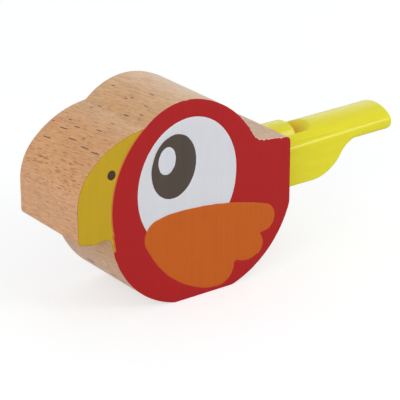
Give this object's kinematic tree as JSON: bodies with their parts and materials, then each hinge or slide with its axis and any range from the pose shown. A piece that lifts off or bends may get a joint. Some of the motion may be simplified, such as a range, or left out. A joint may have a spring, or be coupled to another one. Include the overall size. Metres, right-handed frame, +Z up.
{
  "type": "toy bird call whistle",
  "caption": "Wooden bird-shaped block printed on both faces, standing on a flat base, with a moulded pea whistle plugged into its tail.",
  "frame": {"origin": "centre of the flat base that the bird stands on", "axes": "+X from beak to mouthpiece, +Z up from the base, +Y across the thickness from the near printed face to the far one"},
  "size_m": [0.1052, 0.026, 0.0537],
  "materials": {
    "beech": "sanded bare beech",
    "red_ink": "screen-printed satin ink",
    "beak_ink": "screen-printed satin ink",
    "white_ink": "screen-printed satin ink",
    "brown_ink": "screen-printed satin ink",
    "orange_ink": "screen-printed satin ink",
    "yellow_plastic": "glossy moulded plastic",
    "cork": "cork ball"
  },
  "bodies": {
    "bird": {"wood_body": "beech", "red_print_near": "red_ink", "beak_print_near": "beak_ink", "nostril_print_near": "brown_ink", "eye_print_near": "white_ink", "pupil_print_near": "brown_ink", "glint_print_near": "white_ink", "wing_print_near": "orange_ink", "red_print_far": "red_ink", "beak_print_far": "beak_ink", "nostril_print_far": "brown_ink", "eye_print_far": "white_ink", "pupil_print_far": "brown_ink", "glint_print_far": "white_ink", "wing_print_far": "orange_ink", "whistle_lower_shell": "yellow_plastic", "whistle_upper_shell": "yellow_plastic", "windway_plate": "yellow_plastic"},
    "pea": {"pea": "cork"}
  },
  "joints": [
    {"name": "pea_roll", "type": "hinge", "parent": "bird", "child": "pea", "pos_m": [0.0343, 0, 0.0255], "axis": [0, 1, 0], "continuous": true}
  ]
}
